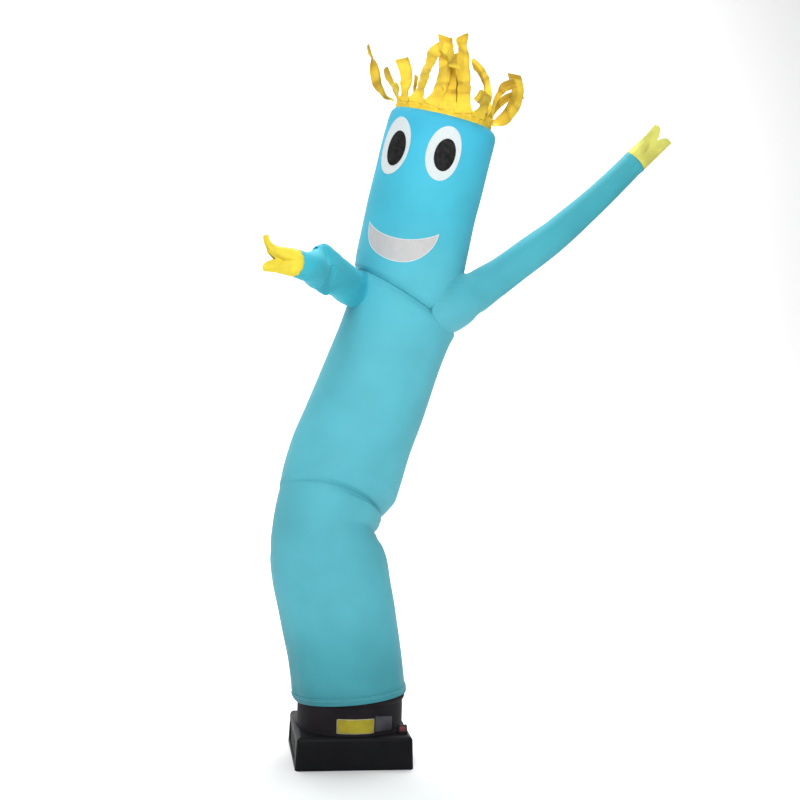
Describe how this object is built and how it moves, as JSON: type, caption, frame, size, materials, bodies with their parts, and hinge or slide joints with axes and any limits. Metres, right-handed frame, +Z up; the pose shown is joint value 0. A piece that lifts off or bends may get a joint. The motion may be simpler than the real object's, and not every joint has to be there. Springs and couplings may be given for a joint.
{
  "type": "inflatable air dancer on its floor blower",
  "caption": "Leaning cloth tube figure with a smiling face, two sleeved arms and a ribbon fringe, blown up from a low square floor blower through a round collar.",
  "frame": {"origin": "centre of the blower housing's underside, on the floor", "axes": "+Z up, -Y towards the side that the face looks to, +X towards the switch and the side that the figure leans to"},
  "size_m": [1.1899, 0.7866, 2.084],
  "materials": {
    "shell_black": "moulded, lightly grained black plastic",
    "collar_black": "matte black plastic",
    "grille_black": "matte black plastic",
    "switch_black": "fine-grained black plastic",
    "switch_red": "gloss red plastic",
    "tube_cloth": "light blue ripstop nylon",
    "hand_cloth": "yellow ripstop nylon",
    "hair_cloth": "golden yellow ripstop nylon",
    "eye_white": "white nylon applique",
    "eye_black": "black nylon applique",
    "mouth_white": "pale grey nylon applique"
  },
  "bodies": {
    "root": {"blower_housing": "shell_black", "blower_collar": "collar_black", "intake_grille": "grille_black", "cord_inlet": "switch_black", "switch_pod": "switch_black", "body_tube": "tube_cloth", "head_tube": "tube_cloth", "right_sleeve": "tube_cloth", "left_sleeve": "tube_cloth", "right_hand": "hand_cloth", "left_hand": "hand_cloth", "left_eye_white": "eye_white", "right_eye_white": "eye_white", "left_pupil": "eye_black", "right_pupil": "eye_black", "mouth_patch": "mouth_white", "hair_fringe": "hair_cloth"},
    "rocker": {"rocker_switch": "switch_red"}
  },
  "joints": [
    {"name": "rocker_tilt", "type": "hinge", "parent": "root", "child": "rocker", "pos_m": [0.139, -0.12441, 0.10387], "axis": [1, 0, 0], "range_deg": [-16, 0]}
  ]
}
